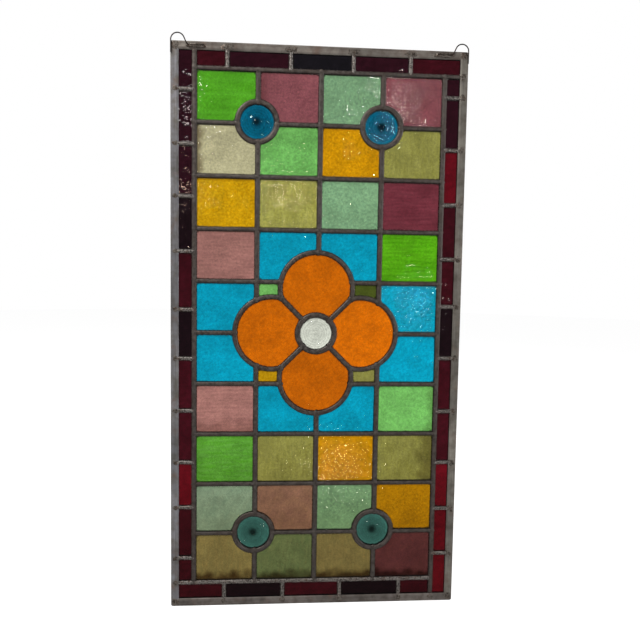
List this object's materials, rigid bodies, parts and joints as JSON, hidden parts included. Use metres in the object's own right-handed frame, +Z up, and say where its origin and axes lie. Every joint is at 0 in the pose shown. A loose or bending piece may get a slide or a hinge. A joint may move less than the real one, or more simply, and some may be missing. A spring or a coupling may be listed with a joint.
{
  "type": "stained glass window panel",
  "caption": "Leaded stained glass panel with a round-petalled flower over a grid of coloured quarries, corner rondels, a dark border and wire loops to hang it by.",
  "frame": {"origin": "middle of the line through the undersides of the two wire loops at the top, where hooks carry the panel", "axes": "+Z up along the panel, +X to the right seen from the front, the front faces -Y"},
  "size_m": [0.37, 0.009, 0.7235],
  "materials": {
    "frame_lead": "dull grey rolled lead, scratched and tinned",
    "came_lead": "dark oxidised lead with tinned solder joints",
    "loop_wire": "tinned wire gone dark",
    "glass_grass": "hammered cathedral glass",
    "glass_mauve": "hammered cathedral glass",
    "glass_seafoam": "hammered cathedral glass",
    "glass_straw": "hammered cathedral glass",
    "glass_leaf": "hammered cathedral glass",
    "glass_amber": "hammered cathedral glass",
    "glass_olive": "hammered cathedral glass",
    "glass_golden": "hammered cathedral glass",
    "glass_plum": "hammered cathedral glass",
    "glass_pink": "hammered cathedral glass",
    "glass_turquoise": "hammered cathedral glass",
    "glass_lime": "hammered cathedral glass",
    "glass_moss": "hammered cathedral glass",
    "glass_fern": "hammered cathedral glass",
    "glass_celadon": "hammered cathedral glass",
    "glass_umber": "hammered cathedral glass",
    "glass_khaki": "hammered cathedral glass",
    "glass_lichen": "hammered cathedral glass",
    "glass_bistre": "hammered cathedral glass",
    "glass_orange": "hammered cathedral glass",
    "glass_clear": "spun glass",
    "glass_teal": "spun glass",
    "glass_ruby": "smooth flashed glass"
  },
  "bodies": {
    "root": {"frame_left": "frame_lead", "frame_right": "frame_lead", "frame_top": "frame_lead", "frame_bottom": "frame_lead", "lead_lattice": "came_lead", "hanging_loop_left": "loop_wire", "hanging_loop_right": "loop_wire", "pane_row1_column1": "glass_grass", "pane_row1_column2": "glass_mauve", "pane_row1_column3": "glass_seafoam", "pane_row1_column4": "glass_mauve", "pane_row2_column1": "glass_straw", "pane_row2_column2": "glass_leaf", "pane_row2_column3": "glass_amber", "pane_row2_column4": "glass_olive", "pane_row3_column1": "glass_golden", "pane_row3_column2": "glass_olive", "pane_row3_column3": "glass_seafoam", "pane_row3_column4": "glass_plum", "pane_row4_column1": "glass_pink", "pane_row4_column2": "glass_turquoise", "pane_row4_column3": "glass_turquoise", "pane_row4_column4": "glass_lime", "pane_row5_column1": "glass_turquoise", "small_pane_upper_left": "glass_leaf", "small_pane_upper_right": "glass_moss", "pane_row5_column4": "glass_turquoise", "pane_row6_column1": "glass_turquoise", "small_pane_lower_left": "glass_golden", "small_pane_lower_right": "glass_olive", "pane_row6_column4": "glass_turquoise", "pane_row7_column1": "glass_pink", "pane_row7_column2": "glass_turquoise", "pane_row7_column3": "glass_turquoise", "pane_row7_column4": "glass_leaf", "pane_row8_column1": "glass_fern", "pane_row8_column2": "glass_olive", "pane_row8_column3": "glass_amber", "pane_row8_column4": "glass_olive", "pane_row9_column1": "glass_celadon", "pane_row9_column2": "glass_umber", "pane_row9_column3": "glass_seafoam", "pane_row9_column4": "glass_amber", "pane_row10_column1": "glass_khaki", "pane_row10_column2": "glass_lichen", "pane_row10_column3": "glass_khaki", "pane_row10_column4": "glass_bistre", "petal_right": "glass_orange", "petal_top": "glass_orange", "petal_left": "glass_orange", "petal_bottom": "glass_orange", "rondel_centre": "glass_clear", "rondel_upper_left": "glass_teal", "rondel_upper_right": "glass_teal", "rondel_lower_left": "glass_teal", "rondel_lower_right": "glass_teal", "border_glass_top": "glass_ruby", "border_glass_bottom": "glass_ruby", "border_glass_left": "glass_ruby", "border_glass_right": "glass_ruby"}
  },
  "joints": []
}
